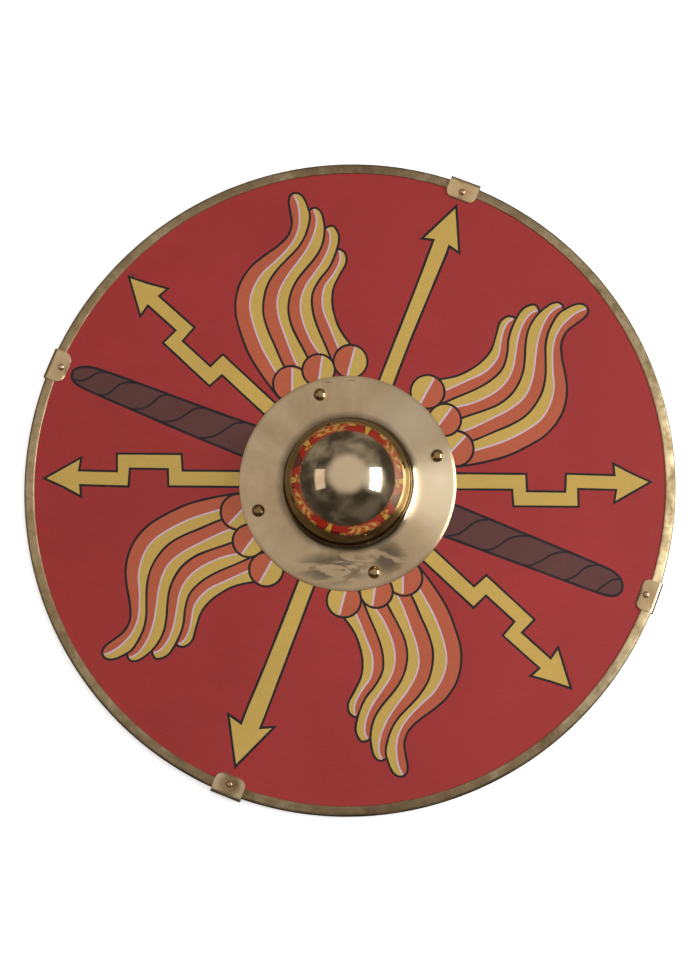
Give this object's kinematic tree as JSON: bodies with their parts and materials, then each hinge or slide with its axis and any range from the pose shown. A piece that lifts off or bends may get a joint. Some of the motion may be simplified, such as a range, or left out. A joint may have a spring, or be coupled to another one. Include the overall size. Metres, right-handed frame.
{
  "type": "round roman shield",
  "caption": "Round flat wooden shield with a brass-bound edge, edge clips, a domed brass boss and a wooden hand grip across the hand hole behind it.",
  "frame": {"origin": "in the middle of the rim, on the surface that the back plates of the edge clips rest on", "axes": "+Z out of the painted face along the boss, +X along the hand grip and the painted bar, +Y along the painted arrows, the taller way of the slightly oval board"},
  "size_m": [0.6524, 0.6634, 0.0889],
  "materials": {
    "painted_board": "plywood, its face hand painted in satin red, yellow, orange and brown with dark outlines, its back stained",
    "binding_brass": "folded sheet brass, dulled and blotched by tarnish",
    "clip_brass": "folded sheet brass, hand bent, lightly tarnished",
    "boss_brass": "spun brass, polished, with faint smears",
    "rivet_brass": "polished brass",
    "grip_wood": "oiled ash, darkened where it is held",
    "nail_iron": "blackened iron"
  },
  "bodies": {
    "root": {"board": "painted_board", "edge_binding_1": "binding_brass", "edge_binding_2": "binding_brass", "edge_binding_3": "binding_brass", "edge_binding_4": "binding_brass", "edge_clip_1": "clip_brass", "edge_clip_2": "clip_brass", "edge_clip_3": "clip_brass", "edge_clip_4": "clip_brass", "edge_clip_rivet_1": "rivet_brass", "edge_clip_rivet_2": "rivet_brass", "edge_clip_rivet_3": "rivet_brass", "edge_clip_rivet_4": "rivet_brass", "boss": "boss_brass", "boss_rivet_1": "rivet_brass", "boss_rivet_2": "rivet_brass", "boss_rivet_3": "rivet_brass", "boss_rivet_4": "rivet_brass", "hand_grip": "grip_wood", "grip_nail_1": "nail_iron", "grip_nail_2": "nail_iron", "grip_nail_3": "nail_iron", "grip_nail_4": "nail_iron"}
  },
  "joints": []
}
